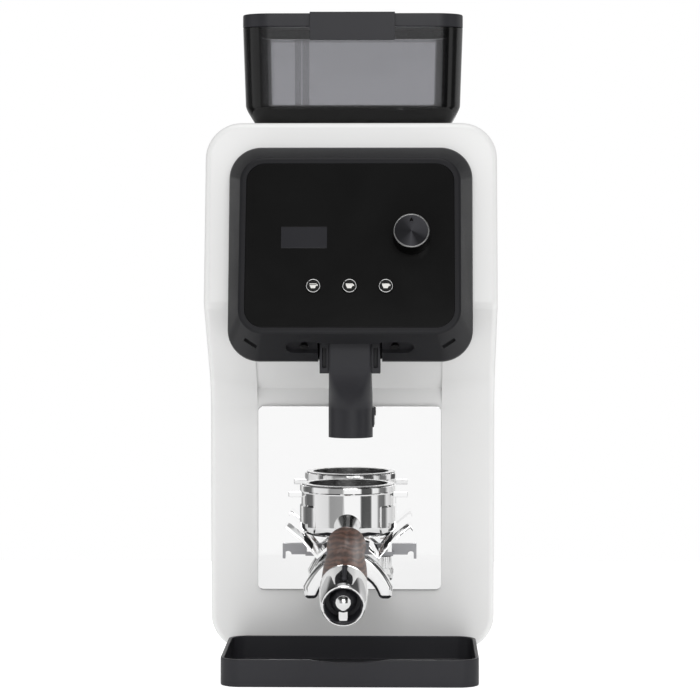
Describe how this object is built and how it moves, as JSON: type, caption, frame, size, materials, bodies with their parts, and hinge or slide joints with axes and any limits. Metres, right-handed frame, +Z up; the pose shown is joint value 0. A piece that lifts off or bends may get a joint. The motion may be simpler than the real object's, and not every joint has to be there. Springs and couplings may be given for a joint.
{
  "type": "burr coffee grinder",
  "caption": "Upright burr coffee grinder with a smoked hopper, tilted control head, spout over a forked dock, removable portafilter and a shallow tray.",
  "frame": {"origin": "centre of the whole footprint on the table, half way between the handle's end and the back, Z = 0 at the table", "axes": "+Z up, -Y towards the user, +X to the right of someone facing the controls"},
  "size_m": [0.208, 0.3886, 0.4757],
  "materials": {
    "white_paint": "satin white enamel",
    "dark_plastic": "fine satin black",
    "panel_gloss": "gloss black",
    "mirror_steel": "mirror polished",
    "chrome": "bright chrome",
    "walnut": "oiled walnut",
    "basket_steel": "polished stainless",
    "rubber": "matt black",
    "zinc_steel": "zinc plated",
    "burr_steel": "ground tool steel",
    "cast_aluminium": "cast and machined",
    "motor_paint": "black enamel",
    "laminations": "stacked sheet",
    "copper_wire": "varnished copper",
    "circuit_board": "solder mask",
    "white_plastic": "moulded",
    "dark_anodised": "turned and anodised",
    "smoked_plastic": "smoke tinted clear"
  },
  "bodies": {
    "grinder": {"body_shell": "white_paint", "base_plate": "zinc_steel", "rubber_feet": "rubber", "foot_screws": "zinc_steel", "rear_cover": "dark_plastic", "rear_screws": "zinc_steel", "mirror_plate": "mirror_steel", "chassis": "zinc_steel", "chassis_screws": "zinc_steel", "head_housing": "dark_plastic", "front_panel": "panel_gloss", "display": "panel_gloss", "control_board": "circuit_board", "button_switches": "zinc_steel", "encoder": "zinc_steel", "underside_screws": "zinc_steel", "chute_block": "dark_plastic", "chute_clips": "dark_plastic", "grounds_duct": "dark_plastic", "fork_bracket": "chrome", "fork_arms": "chrome", "fork_pads": "rubber", "fork_screws": "chrome", "grinding_chamber": "cast_aluminium", "motor_housing": "motor_paint", "motor_top": "zinc_steel", "motor_bearings": "zinc_steel", "motor_stator": "copper_wire", "run_capacitor": "white_plastic", "power_board": "circuit_board", "mains_inlet": "dark_plastic", "switch_frame": "dark_plastic"},
    "button_left": {"button_left": "chrome"},
    "button_middle": {"button_middle": "chrome"},
    "button_right": {"button_right": "chrome"},
    "dial": {"knob": "dark_anodised", "knob_shaft": "zinc_steel"},
    "fork_screw": {"thumb_screw": "chrome"},
    "portafilter": {"portafilter_bowl": "chrome", "portafilter_basket": "basket_steel", "basket_spring": "basket_steel", "portafilter_spout": "chrome", "handle_grip": "walnut", "handle_rod": "zinc_steel", "handle_cap": "chrome"},
    "hopper": {"hopper_body": "smoked_plastic", "hopper_guard": "dark_plastic"},
    "lid": {"hopper_lid": "dark_plastic"},
    "adjuster": {"adjusting_ring": "cast_aluminium"},
    "burr_carrier": {"upper_burr_carrier": "cast_aluminium", "upper_burr": "burr_steel", "upper_burr_screws": "zinc_steel"},
    "rotor": {"lower_burr": "burr_steel", "lower_burr_screws": "zinc_steel", "lower_burr_carrier": "cast_aluminium", "motor_rotor": "laminations", "motor_shaft": "zinc_steel", "motor_fan": "dark_plastic"},
    "rocker": {"switch_rocker": "dark_plastic"},
    "tray": {"drip_tray": "dark_plastic"}
  },
  "joints": [
    {"name": "press_left", "type": "slide", "parent": "grinder", "child": "button_left", "axis": [0, 0.9397, -0.342], "range_m": [0, 0.0006], "stiffness_N_per_m": 900, "springref_m": -0.0004},
    {"name": "press_middle", "type": "slide", "parent": "grinder", "child": "button_middle", "axis": [0, 0.9397, -0.342], "range_m": [0, 0.0006], "stiffness_N_per_m": 900, "springref_m": -0.0004},
    {"name": "press_right", "type": "slide", "parent": "grinder", "child": "button_right", "axis": [0, 0.9397, -0.342], "range_m": [0, 0.0006], "stiffness_N_per_m": 900, "springref_m": -0.0004},
    {"name": "turn_dial", "type": "hinge", "parent": "grinder", "child": "dial", "pos_m": [0.0428, -0.06272, 0.31217], "axis": [0, -0.9397, 0.342], "continuous": true},
    {"name": "turn_fork_screw", "type": "hinge", "parent": "grinder", "child": "fork_screw", "pos_m": [0.024, 0.0223, 0.0756], "axis": [0, 0, 1], "range_deg": [-180, 180]},
    {"name": "lift_out_portafilter", "type": "slide", "parent": "grinder", "child": "portafilter", "axis": [0, -0.9397, 0.342], "range_m": [0, 0.12]},
    {"name": "lift_hopper", "type": "slide", "parent": "grinder", "child": "hopper", "axis": [0, 0, 1], "range_m": [0, 0.06]},
    {"name": "lift_lid", "type": "slide", "parent": "hopper", "child": "lid", "axis": [0, 0, 1], "range_m": [0, 0.05]},
    {"name": "turn_adjuster", "type": "hinge", "parent": "grinder", "child": "adjuster", "pos_m": [0, 0.0993, 0.3644], "axis": [0, 0, 1], "range_deg": [0, 270]},
    {"name": "raise_burr", "type": "slide", "parent": "grinder", "child": "burr_carrier", "axis": [0, 0, 1], "range_m": [0, 0.00091]},
    {"name": "spin_rotor", "type": "hinge", "parent": "grinder", "child": "rotor", "pos_m": [0, 0.0993, 0.2344], "axis": [0, 0, 1], "continuous": true},
    {"name": "tip_rocker", "type": "hinge", "parent": "grinder", "child": "rocker", "pos_m": [-0.052, 0.1903, 0.046], "axis": [0, 0, 1], "range_deg": [-20, 0]},
    {"name": "pull_tray", "type": "slide", "parent": "grinder", "child": "tray", "axis": [0, -1, 0], "range_m": [0, 0.08]}
  ],
  "couplings": [
    {"joint": "raise_burr", "follows": "turn_adjuster", "m_per_rad": 0.00019099}
  ]
}
